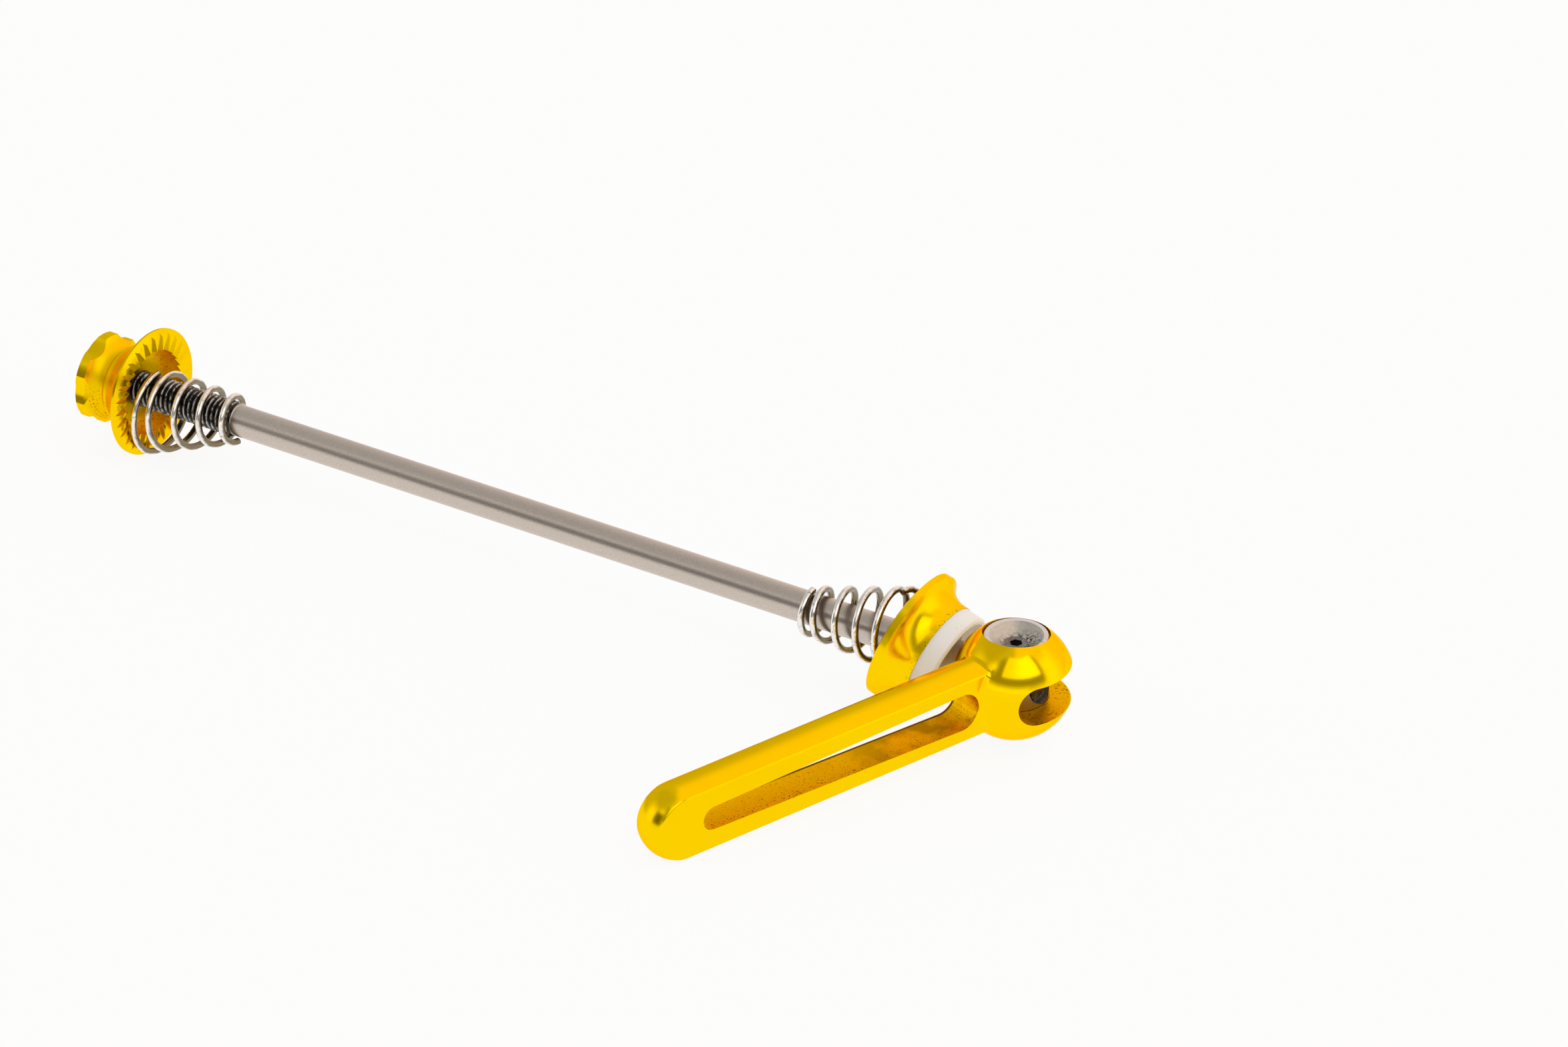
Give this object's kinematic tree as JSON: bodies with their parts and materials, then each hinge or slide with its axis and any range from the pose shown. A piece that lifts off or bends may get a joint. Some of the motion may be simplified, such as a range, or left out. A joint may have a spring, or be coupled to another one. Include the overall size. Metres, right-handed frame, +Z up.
{
  "type": "quick release skewer",
  "caption": "Bicycle quick release skewer: threaded rod with an adjusting nut, conical springs and a ball cam lever that clamps a wheel in its fork.",
  "frame": {"origin": "centre of the adjusting nut's clamp face, on the rod's axis", "axes": "+X along the rod from the nut towards the lever, +Z up from the surface that the skewer lies on"},
  "size_m": [0.1573, 0.066, 0.0191],
  "materials": {
    "titanium": "satin",
    "gold_aluminium": "satin",
    "lock_plastic": "matte",
    "spring_wire": "bright",
    "white_plastic": "matte",
    "barrel_steel": "satin",
    "screw_steel": "satin"
  },
  "bodies": {
    "rod": {"skewer_rod": "titanium", "pivot_barrel": "barrel_steel", "barrel_lock_screw": "screw_steel"},
    "nut_coil": {"nut_spring": "spring_wire"},
    "nut": {"adjusting_nut": "gold_aluminium", "nut_lock_ring": "lock_plastic"},
    "cap_coil": {"cap_spring": "spring_wire"},
    "cap": {"lever_cap": "gold_aluminium", "cam_washer": "white_plastic"},
    "lever": {"cam_lever": "gold_aluminium"}
  },
  "joints": [
    {"name": "nut_travel", "type": "slide", "parent": "rod", "child": "nut_coil", "axis": [1, 0, 0], "range_m": [-0.0021, 0.0081], "deforming": ["nut_spring"]},
    {"name": "nut_turn", "type": "hinge", "parent": "nut_coil", "child": "nut", "pos_m": [0, 0, 0], "axis": [1, 0, 0], "range_deg": [-900, 3600]},
    {"name": "cap_slide", "type": "slide", "parent": "rod", "child": "cap_coil", "axis": [1, 0, 0], "range_m": [-0.012, 0]},
    {"name": "cap_rock", "type": "hinge", "parent": "cap_coil", "child": "cap", "pos_m": [0.12734, 0, 0], "axis": [0, 1, 0], "range_deg": [-18, 0], "deforming": ["cap_spring"]},
    {"name": "lever_pivot", "type": "hinge", "parent": "rod", "child": "lever", "pos_m": [0.14, 0, 0], "axis": [0, -0.0801, 0.9968], "range_deg": [0, 200]}
  ],
  "couplings": [
    {"joint": "nut_travel", "follows": "nut_turn", "m_per_rad": 0.00012732}
  ]
}
